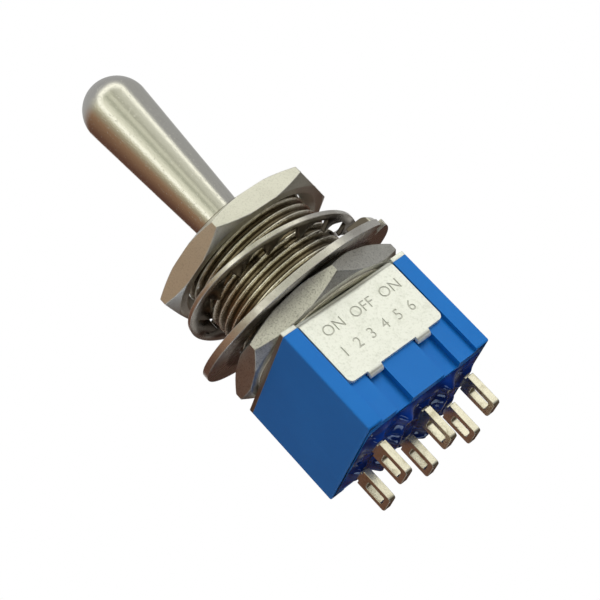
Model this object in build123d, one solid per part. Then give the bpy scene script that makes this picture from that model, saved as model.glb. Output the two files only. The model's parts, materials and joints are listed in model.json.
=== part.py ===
from build123d import *
import os
from math import asin, cos, degrees, radians, sin, sqrt, tan

# Toggle switch for a 12 mm panel hole: double pole, on-off-on, with six solder terminals. Sizes are in mm.
# Z = 0 is the top of the steel cover on the bushing's axis. +Z points out along the lever, which swings
# along X. The two poles lie in front (-Y) and at the back (+Y) of the axis.

# Case
case_length = 13.2
case_depth = 12.3
case_height = 9.5
case_end_wall = 1.1
case_side_wall = 1.9
case_edge = 0.15
cavity_corner = 0.4
cavity_depth = 7.0
skirt_height = 0.8
skirt_wall = 0.7
barrier_thickness = 0.8
barrier_height = 2.6
groove_width = 1.7
groove_depth = 0.6
groove_height = 4.1

# Steel cover
cover_thickness = 0.4
cover_bend = 0.25
bend_relief = 0.15
flange_width = 10.1
flange_height = 6.3
flange_corner = 0.5
tab_width = 1.4
tab_spacing = 5.16
tab_bend = 0.12
tab_angle = 80

# Bushing
thread_diameter = 12.0
bushing_height = 11.6
bushing_chamfer = 0.5
relief_depth = 0.45
relief_height = 0.6
base_lip_radius = 6.9
base_lip_height = 0.12
spigot_radius = 4.5
stake_radius = 5.0
stake_height = 0.35
tail_bore_radius = 3.2
ball_bore_height = 2.8
throat_radius = 1.9
mouth_radius = 3.6
keyway_width = 1.5
keyway_depth = 0.8

# Lever
pivot_height = 6.4
lever_throw = 12
ball_radius = 2.5
neck_radius = 1.4
bat_root_radius = 2.05
bat_root_height = 11.4
tip_radius = 2.98
lever_height = 29.4
tail_radius = 1.0
tail_chamfer = 0.2
pin_radius = 0.5
pin_length = 8.2
pin_chamfer = 0.1

# Nuts and washers
nut_width = 15.0
nut_thickness = 1.9
nut_chamfer_angle = 30
nut_chamfer_start = 0.05
nut_countersink = 0.75
upper_nut_height = 8.88
upper_nut_turn = 55.6
lower_nut_turn = 25.5
lock_outer_radius = 8.0
lock_thickness = 0.45
lock_tooth_count = 14
lock_tooth_length = 1.0
lock_tooth_share = 0.62
lock_tooth_twist = 24
lock_height = 6.25
lock_tilt = 8.2
lock_tilt_azimuth = 353.5
locating_outer_radius = 9.5
locating_thickness = 0.65
locating_height = 3.1
locating_tilt = 7.6
locating_tilt_azimuth = 256
tongue_width = 1.1
tongue_reach = 0.55
lug_width = 1.5
lug_bend = 0.15
lug_inset = 0.4
lug_length = 1.3
lug_fold = 174
lug_azimuth = -15

# Moving contacts
pole_spacing = 4.8
holder_top = -1.35
holder_bottom = -3.0
holder_bar_width = 2.3
barrel_radius = 1.15
barrel_bottom = -4.6
barrel_roof = 0.45
hub_radius = 1.7
hub_bottom = -3.6
plunger_radius = 0.7
plunger_length = 2.1
plunger_tip = -5.55
spring_wire = 0.1
spring_turns = 3
rocker_thickness = 0.35
rocker_width = 2.3
rocker_waist_width = 1.5
rocker_waist_length = 1.1
rocker_overhang = 0.25
rocker_dish_radius = 6.2
rocker_dish_angle = 22
rocker_shoulder_radius = 1.2
rocker_swing = 7
saddle_groove = 0.12

# Terminals
terminal_end_margin = 0.6
terminal_thickness = 0.65
terminal_width = 2.0
terminal_tip = -13.7
stem_end = -10.05
neck_end = -10.6
neck_width = 1.2
tip_corner = 0.3
wire_slot_width = 1.0
wire_slot_top = -11.4
wire_slot_length = 1.8
wire_slot_corner = 0.2
cradle_width = 2.9
cradle_ear_height = 0.95
pad_length = 1.7
pad_thickness = 0.45
rivet_radius = 0.65
rivet_height = 0.22
rivet_shank_radius = 0.35
rivet_inset = 0.55

# Resin under the case
resin_bulge = 0.3
resin_margin = 0.45
resin_ridge_height = 0.95
resin_ridge_width = 2.1
resin_crest_width = 0.42
resin_edge = 0.27

# Clearances
running_gap = 0.05
mould_gap = 0.05
recess_side_gap = 0.12
contact_gap = 0.04
nut_gap = 0.02
slot_gap = 0.05
lock_fit = 0.2
locating_fit = 0.17

# Worked-out places
thread_radius = thread_diameter / 2
case_top = -cover_thickness
case_bottom = case_top - case_height
cavity_floor = case_top - cavity_depth
floor_bottom = case_bottom + skirt_height
recess_depth = cover_thickness
half_depth = case_depth / 2
recess_face = half_depth - recess_depth
ball_seat_radius = ball_radius + running_gap
tail_end = hub_bottom
lower_nut_height = base_lip_height + nut_gap
terminal_pitch = case_length / 2 - case_end_wall - terminal_end_margin
rocker_top = plunger_tip - contact_gap
rocker_pivot = rocker_top - rocker_thickness - terminal_thickness / 2 - contact_gap + saddle_groove
pole_y = pole_spacing / 2
pole_names = {"front": -1, "back": 1}
side_names = {"left": -1, "right": 1}


def box_between(x, y, z):
    """A box from three pairs of coordinates."""
    size = [abs(b - a) for a, b in (x, y, z)]
    middle = [(a + b) / 2 for a, b in (x, y, z)]
    return Pos(*middle) * Box(*size)


def ring_sector(centre, inner, outer, start, sweep):
    """A flat piece of a ring, between two radii and two angles."""
    outside = CenterArc(centre, outer, start, sweep)
    inside = CenterArc(centre, inner, start, sweep)
    ends = [Line(outside @ 0, inside @ 0), Line(outside @ 1, inside @ 1)]
    return make_face([outside, inside] + ends)


def along_y(face, width):
    """A face drawn in XZ, made `width` thick about Y = 0."""
    return extrude(Plane.XZ * face, width / 2, both=True)


def along_x(face, width):
    """A face drawn in YZ, made `width` thick about X = 0."""
    return extrude(Plane.YZ * face, width / 2, both=True)


# ---- Case ----

def case_shell():
    """The outer block with its cavity, open at the top, and the pocket for the resin."""
    half = case_length / 2
    block = box_between((-half, half), (-half_depth, half_depth), (case_bottom, case_top))
    block = fillet(block.edges().filter_by(Axis.Z), case_edge)
    block = fillet(block.faces().sort_by(Axis.Z)[0].edges(), case_edge)
    inside_x = half - case_end_wall
    inside_y = half_depth - case_side_wall
    cavity = box_between((-inside_x, inside_x), (-inside_y, inside_y), (cavity_floor, case_top))
    cavity = fillet(cavity.edges().filter_by(Axis.Z), cavity_corner)
    pocket_x = half - skirt_wall
    pocket_y = recess_face - groove_depth - skirt_wall
    pocket = box_between((-pocket_x, pocket_x), (-pocket_y, pocket_y), (case_bottom, floor_bottom))
    pocket = fillet(pocket.edges().filter_by(Axis.Z), cavity_corner)
    return block - cavity - pocket


def cover_recesses():
    """The shallow recess for each flange, and the grooves below its tabs."""
    half = flange_width / 2 + recess_side_gap
    cuts = []
    for side in (-1, 1):
        face = (side * recess_face, side * half_depth)
        cuts.append(box_between((-half, half), face, (case_bottom, case_top)))
        groove = (side * (recess_face - groove_depth), side * recess_face)
        for tab_x in (-tab_spacing / 2, tab_spacing / 2):
            width = (tab_x - groove_width / 2, tab_x + groove_width / 2)
            cuts.append(box_between(width, groove, (case_bottom, case_bottom + groove_height)))
    return cuts


def fold_edges(case):
    """The two upper edges that the cover folds over."""
    top = case.edges().filter_by(Axis.X).group_by(Axis.Z)[-1]
    return top.filter_by(lambda edge: abs(abs(edge.center().Y) - recess_face) < case_edge)


def terminal_slots():
    """The slots in the floor that the six terminals stand in."""
    half_x = terminal_thickness / 2 + slot_gap
    half_y = terminal_width / 2 + slot_gap
    slots = []
    for pole in pole_names.values():
        for column in (-1, 0, 1):
            x = column * terminal_pitch
            y = pole * pole_y
            slots.append(box_between((x - half_x, x + half_x), (y - half_y, y + half_y),
                                     (floor_bottom, cavity_floor)))
    return slots


def make_case():
    case = case_shell()
    for cut in cover_recesses() + terminal_slots():
        case -= cut
    case = fillet(fold_edges(case), cover_bend + mould_gap)
    case -= Pos(0, 0, case_top) * Cylinder(stake_radius + mould_gap, 2 * (stake_height + mould_gap))
    inside_x = case_length / 2 - case_end_wall
    half = barrier_thickness / 2
    barrier = box_between((-inside_x, inside_x), (-half, half), (cavity_floor, cavity_floor + barrier_height))
    return case + barrier


# ---- Steel cover ----

def flange_profile():
    """Half of the plate and one flange, drawn in YZ."""
    outside = Pos(half_depth / 2, -flange_height / 2) * Rectangle(half_depth, flange_height)
    inner_y = half_depth - cover_thickness
    inner_height = flange_height - cover_thickness
    inside = Pos(inner_y / 2, -cover_thickness - inner_height / 2) * Rectangle(inner_y, inner_height)
    profile = outside - inside
    corner_out = profile.vertices().sort_by_distance((half_depth, 0, 0))[0]
    profile = fillet(corner_out, cover_bend + cover_thickness)
    corner_in = profile.vertices().sort_by_distance((inner_y, -cover_thickness, 0))[0]
    return fillet(corner_in, cover_bend)


def crimp_tab():
    """One tab, curled inwards below the flange's lower edge."""
    centre = (recess_face - tab_bend, -flange_height)
    curl = ring_sector(centre, tab_bend, tab_bend + cover_thickness, 0, -tab_angle)
    return along_x(curl, tab_width)


def make_cover():
    half = case_length / 2
    plate_y = half_depth - cover_bend - cover_thickness
    cover = box_between((-half, half), (-half_depth, half_depth), (-cover_thickness, 0))
    cover = fillet(cover.edges().filter_by(Axis.Z), case_edge)
    notch_x = flange_width / 2 + bend_relief
    notch = box_between((-notch_x, notch_x), (plate_y, half_depth), (-cover_thickness, 0))
    flange = along_x(flange_profile(), flange_width)
    lower_corners = flange.edges().filter_by(Axis.Y).group_by(Axis.Z)[0]
    flange = fillet(lower_corners, flange_corner)
    for tab_x in (-tab_spacing / 2, tab_spacing / 2):
        flange += Pos(tab_x, 0, 0) * crimp_tab()
    for turn in (0, 180):
        cover -= Rot(0, 0, turn) * notch
        cover += Rot(0, 0, turn) * flange
    return cover - Cylinder(spigot_radius, 4 * cover_thickness)


# ---- Bushing ----

def bushing_outline():
    """Half section of the bushing's outside, from the staked end up to the mouth."""
    relief = thread_radius - relief_depth
    top = bushing_height
    return [(spigot_radius, 0), (base_lip_radius, 0), (base_lip_radius, base_lip_height),
            (relief, base_lip_height), (relief, relief_height), (thread_radius, relief_height + relief_depth),
            (thread_radius, top - bushing_chamfer), (thread_radius - bushing_chamfer, top),
            (mouth_radius, top)]


def bushing_section():
    """The turned section, with the conical mouth, the ball's seat and the wide bore for the tail."""
    end = -cover_thickness - stake_height
    ball_bore_end = pivot_height - ball_bore_height
    seat_angle = degrees(asin(throat_radius / ball_seat_radius))
    seat = CenterArc((0, pivot_height), ball_seat_radius, 90 - seat_angle, seat_angle - 90)
    outline = bushing_outline()
    wall = Polyline(*outline, seat @ 0)
    inner = Polyline(seat @ 1, (ball_seat_radius, ball_bore_end),
                     (tail_bore_radius, ball_bore_end - (tail_bore_radius - ball_seat_radius)),
                     (tail_bore_radius, end), (stake_radius, end), (stake_radius, -cover_thickness),
                     (spigot_radius, -cover_thickness), outline[0])
    return make_face([*wall.edges(), seat, *inner.edges()])


def pin_slots():
    """Grooves in the bore that the pivot pin slides up into, closed by a round top."""
    radius = pin_radius + running_gap
    reach = pin_length / 2 + 2 * running_gap
    bottom = -cover_thickness - stake_height
    slot = box_between((-radius, radius), (-reach, reach), (bottom, pivot_height))
    return slot + Pos(0, 0, pivot_height) * Rot(90, 0, 0) * Cylinder(radius, 2 * reach)


def make_bushing():
    bushing = revolve(Plane.XZ * bushing_section(), Axis.Z)
    bushing -= pin_slots()
    half = keyway_width / 2
    keyway = box_between((thread_radius - keyway_depth, base_lip_radius), (-half, half),
                         (relief_height, bushing_height))
    return bushing - keyway


# ---- Lever and what rides on it ----

def make_lever():
    """Bat handle, neck, ball and tail, turned in one piece."""
    tip_height = lever_height - tip_radius
    neck_height = pivot_height + sqrt(ball_radius ** 2 - neck_radius ** 2)
    taper_start = neck_height + 2 * running_gap
    handle = Polyline((0, pivot_height), (neck_radius, pivot_height), (neck_radius, taper_start),
                      (bat_root_radius, bat_root_height), (tip_radius, tip_height))
    tip = CenterArc((0, tip_height), tip_radius, 0, 90)
    spine = Line(tip @ 1, (0, pivot_height))
    handle = revolve(Plane.XZ * make_face([*handle.edges(), tip, spine]), Axis.Z)
    tail_length = pivot_height - tail_end
    tail = Pos(0, 0, tail_end + tail_length / 2) * Cylinder(tail_radius, tail_length)
    tail = chamfer(tail.edges().group_by(Axis.Z)[0], tail_chamfer)
    lever = handle + tail + Pos(0, 0, pivot_height) * Sphere(ball_radius)
    return lever - Pos(0, 0, pivot_height) * Rot(90, 0, 0) * Cylinder(pin_radius, 2 * ball_radius)


def make_pivot_pin():
    pin = Cylinder(pin_radius, pin_length)
    pin = chamfer(pin.edges().filter_by(GeomType.CIRCLE), pin_chamfer)
    return Pos(0, 0, pivot_height) * Rot(90, 0, 0) * pin


def make_plunger_holder():
    """Yoke pressed on the lever's tail, with a barrel over each pole."""
    half_x = holder_bar_width / 2
    bar = box_between((-half_x, half_x), (-pole_y, pole_y), (holder_bottom, holder_top))
    hub_height = holder_top - hub_bottom
    hub = Pos(0, 0, hub_bottom + hub_height / 2) * Cylinder(hub_radius, hub_height)
    holder = bar + hub
    barrel_height = holder_top - barrel_bottom
    bore_height = barrel_height - barrel_roof
    for pole in pole_names.values():
        barrel = Cylinder(barrel_radius, barrel_height)
        holder += Pos(0, pole * pole_y, barrel_bottom + barrel_height / 2) * barrel
    for pole in pole_names.values():
        bore = Cylinder(plunger_radius + running_gap, bore_height)
        holder -= Pos(0, pole * pole_y, barrel_bottom + bore_height / 2) * bore
    return holder - Cylinder(tail_radius, 4 * hub_height)


def make_plunger(pole):
    shank = plunger_length - plunger_radius
    centre = plunger_tip + plunger_radius
    body = Pos(0, 0, centre + shank / 2) * Cylinder(plunger_radius, shank)
    nose = Pos(0, 0, centre) * Sphere(plunger_radius)
    return Pos(0, pole * pole_y, 0) * (body + nose)


def make_spring(pole):
    """Coil spring between the barrel's roof and the plunger."""
    bottom = plunger_tip + plunger_length + spring_wire
    top = holder_top - barrel_roof - spring_wire
    coil_radius = plunger_radius - spring_wire
    height = top - bottom
    coil = Helix(pitch=height / spring_turns, height=height, radius=coil_radius)
    section = Plane(origin=coil @ 0, z_dir=coil % 0) * Circle(spring_wire)
    return Pos(0, pole * pole_y, bottom) * sweep(section, path=coil)


# ---- Contacts ----

def shoulder_centre():
    """X and Z of the centre of the bend between the rocker's dish and its flat end."""
    reach = rocker_dish_radius + rocker_thickness / 2 + rocker_shoulder_radius
    angle = radians(rocker_dish_angle)
    return reach * sin(angle), rocker_top + rocker_dish_radius - reach * cos(angle)


def rocker_half():
    """The right half of the rocker's side view: dish, shoulder and flat end."""
    shoulder_x, shoulder_z = shoulder_centre()
    half_thickness = rocker_thickness / 2
    dish = ring_sector((0, rocker_top + rocker_dish_radius), rocker_dish_radius,
                       rocker_dish_radius + rocker_thickness, 270, rocker_dish_angle)
    shoulder = ring_sector((shoulder_x, shoulder_z), rocker_shoulder_radius - half_thickness,
                           rocker_shoulder_radius + half_thickness, 90, rocker_dish_angle)
    arm_length = terminal_pitch + rocker_overhang - shoulder_x
    arm_z = shoulder_z + rocker_shoulder_radius
    arm = Pos(shoulder_x + arm_length / 2, arm_z) * Rectangle(arm_length, rocker_thickness)
    return dish + shoulder + arm


def pivot_bar(radius, length):
    """A round bar on the rocker's pivot axis."""
    return Pos(0, 0, rocker_pivot) * Rot(90, 0, 0) * Cylinder(radius, length)


def make_rocker(pole):
    """Dished contact with a groove for the centre terminal's saddle and a waist between its ears."""
    right = along_y(rocker_half(), rocker_width)
    rocker = right + mirror(right, Plane.YZ)
    rocker = fillet(rocker.edges().filter_by(Axis.Z), rocker_thickness)
    notch_y = (rocker_waist_width / 2, rocker_width)
    half_x = rocker_waist_length / 2
    for side in (-1, 1):
        notch = [side * y for y in notch_y]
        rocker -= box_between((-half_x, half_x), notch, (rocker_pivot, rocker_top + rocker_thickness))
    rocker -= pivot_bar(terminal_thickness / 2 + contact_gap, rocker_width)
    return Pos(0, pole * pole_y, 0) * rocker


def contact_height():
    """Top of a fixed contact: where the rocker's underside comes down to at the end of its swing."""
    _, shoulder_z = shoulder_centre()
    lift = shoulder_z + rocker_shoulder_radius - rocker_thickness / 2 - rocker_pivot
    swing = radians(rocker_swing)
    outer_x = terminal_pitch - rivet_inset + rivet_radius
    return rocker_pivot + lift / cos(swing) - outer_x * tan(swing) - contact_gap


def solder_lug():
    """The part of every terminal from inside the floor to the tip, drawn in YZ."""
    def strip(width, top, bottom):
        return Pos(0, (top + bottom) / 2) * Rectangle(width, top - bottom)

    blade = strip(terminal_width, neck_end, terminal_tip)
    tips = blade.vertices().group_by(Axis.Y)[0]
    blade = fillet(tips, tip_corner)
    slot = strip(wire_slot_width, wire_slot_top, wire_slot_top - wire_slot_length)
    slot = fillet(slot.vertices(), wire_slot_corner)
    lug = strip(terminal_width, cavity_floor, stem_end) + strip(neck_width, stem_end, neck_end) + blade
    return lug - slot


def make_centre_terminal(pole):
    """Solder lug with a round saddle on top, between two ears that keep the rocker in place."""
    half = cradle_width / 2
    gap = rocker_waist_width / 2 + 2 * contact_gap
    head = Pos(0, (rocker_pivot + cavity_floor) / 2) * Rectangle(cradle_width, rocker_pivot - cavity_floor)
    ear_z = rocker_pivot + cradle_ear_height / 2
    for side in (-1, 1):
        head += Pos(side * (half + gap) / 2, ear_z) * Rectangle(half - gap, cradle_ear_height)
    saddle = pivot_bar(terminal_thickness / 2, 2 * gap)
    terminal = along_x(head + solder_lug(), terminal_thickness) + saddle
    return Pos(0, pole * pole_y, 0) * terminal


def make_outer_terminal(pole, side):
    """Solder lug whose top is folded inwards into a pad for the contact rivet."""
    pad_top = contact_height() - rivet_height
    stem = along_x(solder_lug(), terminal_thickness)
    half = terminal_width / 2
    outer = terminal_thickness / 2
    stem += box_between((-outer, outer), (-half, half), (cavity_floor, pad_top))
    pad = box_between((outer, outer - pad_length), (-half, half), (pad_top - pad_thickness, pad_top))
    shank = Pos(-rivet_inset, 0, pad_top) * Cylinder(rivet_shank_radius, 4 * pad_thickness)
    terminal = stem + pad - (shank & box_between((-pad_length, outer), (-half, half),
                                                 (pad_top - pad_thickness, pad_top)))
    if side < 0:
        terminal = mirror(terminal, Plane.YZ)
    return Pos(side * terminal_pitch, pole * pole_y, 0) * terminal


def make_rivet(pole, side):
    """Contact rivet: a low head on the pad and a shank through it."""
    top = contact_height()
    pad_top = top - rivet_height
    head = Pos(0, 0, top - rivet_height / 2) * Cylinder(rivet_radius, rivet_height)
    head = fillet(head.edges().group_by(Axis.Z)[-1], rivet_height / 2)
    shank = Pos(0, 0, pad_top - pad_thickness / 2) * Cylinder(rivet_shank_radius, pad_thickness)
    x = side * (terminal_pitch - rivet_inset)
    return Pos(x, pole * pole_y, 0) * (head + shank)


# ---- Resin ----

def resin_ridge(x):
    """A wall of resin between two columns of terminals, thinning towards its crest."""
    half_y = recess_face - groove_depth - resin_margin
    base = case_bottom - resin_bulge / 2
    crest = case_bottom - resin_ridge_height
    half = resin_ridge_width / 2
    half_crest = resin_crest_width / 2
    outline = Polyline((x - half, base), (x - half_crest, crest), (x + half_crest, crest), (x + half, base),
                       close=True)
    return along_y(make_face(outline), 2 * half_y)


def make_resin_seal(terminals):
    half = case_length / 2
    pocket_x = half - skirt_wall
    pocket_y = recess_face - groove_depth - skirt_wall
    fill = box_between((-pocket_x, pocket_x), (-pocket_y, pocket_y), (case_bottom, floor_bottom))
    fill = fillet(fill.edges().filter_by(Axis.Z), cavity_corner)
    over_x = half - resin_margin
    over_y = recess_face - groove_depth - resin_margin / 2
    bulge = box_between((-over_x, over_x), (-over_y, over_y), (case_bottom - resin_bulge, case_bottom))
    bulge = chamfer(bulge.faces().sort_by(Axis.Z)[0].edges(), resin_edge)
    resin = fill + bulge
    for column in (-1, 1):
        resin += resin_ridge(column * terminal_pitch / 2)
    for terminal in terminals:
        resin -= terminal
    return resin


# ---- Nuts and washers ----

def make_nut(bottom, turn):
    """Thin hexagon nut, chamfered and countersunk on both faces."""
    half = nut_thickness / 2
    bore = thread_radius + running_gap
    flat = nut_width / 2
    corner = flat / cos(radians(30))
    start = flat + nut_chamfer_start
    drop = (corner - start) * tan(radians(nut_chamfer_angle))
    sink = bore + nut_countersink
    nut = extrude(RegularPolygon(corner, 6), half, both=True)
    lower = [(bore, -half + nut_countersink), (sink, -half), (start, -half), (corner, -half + drop)]
    upper = [(x, -y) for x, y in reversed(lower)]
    section = Polyline(*lower, *upper, close=True)
    turned = revolve(Plane.XZ * make_face(section), Axis.Z)
    return Pos(0, 0, bottom + half) * Rot(0, 0, turn) * (nut & turned)


def leaning(piece, height, tilt, azimuth):
    """Tip a washer so that its upper face looks towards `azimuth`, then lift it to its height."""
    return Pos(0, 0, height) * Rot(0, 0, azimuth) * Rot(0, tilt, 0) * Rot(0, 0, -azimuth) * piece


def make_lock_washer():
    """Ring with twisted teeth round its inside."""
    tooth_root = thread_radius + lock_fit + lock_tooth_length
    ring = Cylinder(lock_outer_radius, lock_thickness) - Cylinder(tooth_root, 2 * lock_thickness)
    pitch_width = 2 * tooth_root * sin(radians(180 / lock_tooth_count))
    overlap = lock_thickness
    tip = thread_radius + lock_fit
    tooth = Box(tooth_root - tip + overlap, pitch_width * lock_tooth_share, lock_thickness)
    tooth = Pos((tip + tooth_root + overlap) / 2, 0, 0) * Rot(lock_tooth_twist, 0, 0) * tooth
    for i in range(lock_tooth_count):
        ring += Rot(0, 0, i * 360 / lock_tooth_count) * tooth
    return leaning(ring, lock_height, lock_tilt, lock_tilt_azimuth)


def bent_lug():
    """The lug at the washer's rim, folded up and over towards the axis."""
    middle = locating_thickness + lug_bend
    bend_x = locating_outer_radius - lug_inset - middle
    curl = ring_sector((bend_x, middle), lug_bend, middle, -90, lug_fold)
    fold = radians(lug_fold - 90)
    tip_mid = lug_bend + locating_thickness / 2
    end_x = bend_x + tip_mid * cos(fold) - lug_length / 2 * sin(fold)
    end_z = middle + tip_mid * sin(fold) + lug_length / 2 * cos(fold)
    leaf = Pos(end_x, end_z) * Rot(0, 0, lug_fold) * Rectangle(lug_length, locating_thickness)
    return along_y(curl, lug_width) + along_y(leaf, lug_width)


def make_locating_washer():
    """Flat washer with a key tongue in its bore and a bent lug at its rim."""
    bore = thread_radius + locating_fit
    disc = Pos(0, 0, locating_thickness / 2) * Cylinder(locating_outer_radius, locating_thickness)
    washer = disc - Cylinder(bore, 4 * locating_thickness)
    half = lug_width / 2
    bend_x = locating_outer_radius - lug_inset - locating_thickness - lug_bend
    washer -= box_between((bend_x, 2 * bend_x), (-half, half),
                          (-locating_thickness, 2 * locating_thickness))
    washer = Rot(0, 0, lug_azimuth) * (washer + bent_lug())
    half = tongue_width / 2
    washer += box_between((bore - tongue_reach, bore + tongue_reach), (-half, half), (0, locating_thickness))
    return leaning(washer, locating_height, locating_tilt, locating_tilt_azimuth)


# ---- All pieces ----

def build_parts():
    parts = {"case": make_case(), "cover": make_cover(), "bushing": make_bushing()}
    parts["lever"] = make_lever()
    parts["pivot_pin"] = make_pivot_pin()
    parts["plunger_holder"] = make_plunger_holder()
    terminals = []
    for pole_name, pole in pole_names.items():
        parts[f"plunger_{pole_name}"] = make_plunger(pole)
        parts[f"spring_{pole_name}"] = make_spring(pole)
        parts[f"rocker_{pole_name}"] = make_rocker(pole)
        parts[f"terminal_{pole_name}_centre"] = make_centre_terminal(pole)
        terminals.append(parts[f"terminal_{pole_name}_centre"])
        for side_name, side in side_names.items():
            name = f"terminal_{pole_name}_{side_name}"
            parts[name] = make_outer_terminal(pole, side)
            terminals.append(parts[name])
            parts[f"contact_rivet_{pole_name}_{side_name}"] = make_rivet(pole, side)
    parts["resin_seal"] = make_resin_seal(terminals)
    parts["upper_nut"] = make_nut(upper_nut_height, upper_nut_turn)
    parts["lower_nut"] = make_nut(lower_nut_height, lower_nut_turn)
    parts["lock_washer"] = make_lock_washer()
    parts["locating_washer"] = make_locating_washer()
    return parts


os.makedirs("parts", exist_ok=True)
for name, shape in build_parts().items():
    export_step(shape, f"parts/{name}.step")
    print(f"{name}: {shape.volume:.2f} mm3")
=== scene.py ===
import bmesh
import bpy
import json
import math
from mathutils import Matrix, Vector, noise


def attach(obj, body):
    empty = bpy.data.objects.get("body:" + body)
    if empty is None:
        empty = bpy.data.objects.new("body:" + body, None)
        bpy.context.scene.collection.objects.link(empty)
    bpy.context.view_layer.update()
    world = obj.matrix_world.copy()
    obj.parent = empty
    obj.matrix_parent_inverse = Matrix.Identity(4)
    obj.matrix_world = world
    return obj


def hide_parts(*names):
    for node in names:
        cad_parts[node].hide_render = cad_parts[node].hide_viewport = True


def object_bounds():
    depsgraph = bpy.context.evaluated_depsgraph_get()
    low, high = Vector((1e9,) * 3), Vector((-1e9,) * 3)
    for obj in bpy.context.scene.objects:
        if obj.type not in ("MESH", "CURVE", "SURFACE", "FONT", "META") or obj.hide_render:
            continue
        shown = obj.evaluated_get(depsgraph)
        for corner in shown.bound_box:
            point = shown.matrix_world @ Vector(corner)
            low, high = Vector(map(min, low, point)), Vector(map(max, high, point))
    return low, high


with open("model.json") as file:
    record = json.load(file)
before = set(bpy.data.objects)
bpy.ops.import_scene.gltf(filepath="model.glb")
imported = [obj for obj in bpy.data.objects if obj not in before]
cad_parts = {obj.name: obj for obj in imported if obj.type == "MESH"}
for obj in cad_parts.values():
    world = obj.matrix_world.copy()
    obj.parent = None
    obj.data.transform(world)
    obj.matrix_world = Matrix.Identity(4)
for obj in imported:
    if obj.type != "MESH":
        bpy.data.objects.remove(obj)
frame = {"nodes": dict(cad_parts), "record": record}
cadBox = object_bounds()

# A bat-handled toggle switch with its nuts and washers. Lengths below are in mm, and `mm` makes them metres.
mm = 0.001
nodes = frame["nodes"]


class Wire:
    # An output socket. Arithmetic on it adds Math nodes.
    def __init__(self, finish, socket):
        self.finish, self.socket = finish, socket

    def calc(self, operation, *values):
        return self.finish.add("ShaderNodeMath", {"operation": operation}, dict(enumerate(values)))

    def __add__(self, other):
        return self.calc("ADD", self, other)

    def __radd__(self, other):
        return self.calc("ADD", other, self)

    def __sub__(self, other):
        return self.calc("SUBTRACT", self, other)

    def __rsub__(self, other):
        return self.calc("SUBTRACT", other, self)

    def __mul__(self, other):
        return self.calc("MULTIPLY", self, other)

    def __rmul__(self, other):
        return self.calc("MULTIPLY", other, self)

    def __pow__(self, other):
        return self.calc("POWER", self, other)

    def ramp(self, low, high):
        # 0 up to low, 1 from high on, smooth between. It falls where low is the greater.
        return self.finish.add("ShaderNodeMapRange", {"interpolation_type": "SMOOTHSTEP"},
                               {"Value": self, "From Min": low, "From Max": high})

    def zone(self, start, full, fade, end):
        # 1 from full to fade, 0 before start and past end, all in mm
        return self.ramp(start * mm, full * mm) * self.ramp(end * mm, fade * mm)


class Finish:
    # A material, with one method that adds any node
    def __init__(self, name):
        self.material = bpy.data.materials.new(name)
        self.material.use_nodes = True
        self.tree = self.material.node_tree
        self.tree.nodes.clear()
        self.spot = self.add("ShaderNodeTexCoord", out="Object")

    def add(self, kind, settings=None, sockets=None, out=0):
        node = self.tree.nodes.new(kind)
        for key, value in (settings or {}).items():
            if key == "stops":
                stops = node.color_ramp.elements
                while len(stops) < len(value):
                    stops.new(0.5)
                for stop, (place, colour) in zip(stops, value):
                    stop.position, stop.color = place, (*colour, 1)
            else:
                setattr(node, key, value)
        for key, value in (sockets or {}).items():
            if isinstance(value, Wire):
                self.tree.links.new(value.socket, node.inputs[key])
            else:
                node.inputs[key].default_value = value
        return Wire(self, node.outputs[out])

    def stretched(self, *scale):
        # Places for a pattern: a scale below 1 draws it out along that axis
        return self.add("ShaderNodeMapping", {}, {"Vector": self.spot, "Scale": scale})

    def axes(self):
        return [self.add("ShaderNodeSeparateXYZ", {}, {"Vector": self.spot}, out=axis) for axis in "XYZ"]

    def radius(self):
        # Distance from the switch's axis
        x, y = self.axes()[:2]
        return (x * x + y * y) ** 0.5

    def dot(self, ray, axis):
        return self.add("ShaderNodeVectorMath", {"operation": "DOT_PRODUCT"}, {0: ray, 1: axis}, out="Value")

    def noise(self, size, detail=3.0, rough=0.5, warp=0.0, vector=None):
        # size is that of one blotch, in mm
        return self.add("ShaderNodeTexNoise", {}, {"Vector": vector or self.spot, "Scale": 1 / (size * mm),
                                                   "Detail": detail, "Roughness": rough, "Distortion": warp})

    def blend(self, share, a, b):
        # Colours: a where share is 0, b where it is 1
        a, b = [c if isinstance(c, Wire) else (*c, 1) for c in (a, b)]
        return self.add("ShaderNodeMix", {"data_type": "RGBA"}, {0: share, 6: a, 7: b}, out=2)

    def bump(self, height, depth, strength):
        # depth in mm
        return self.add("ShaderNodeBump", {}, {"Height": height, "Distance": depth * mm,
                                               "Strength": strength})

    def surface(self, **sockets):
        named = {key.replace("_", " "): value for key, value in sockets.items()}
        for key in ("Base Color", "Specular Tint"):
            if key in named and not isinstance(named[key], Wire):
                named[key] = (*named[key], 1)
        return self.done(self.add("ShaderNodeBsdfPrincipled", {}, named))

    def done(self, shader):
        output = self.tree.nodes.new("ShaderNodeOutputMaterial")
        self.tree.links.new(shader.socket, output.inputs["Surface"])
        return self.material


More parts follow.
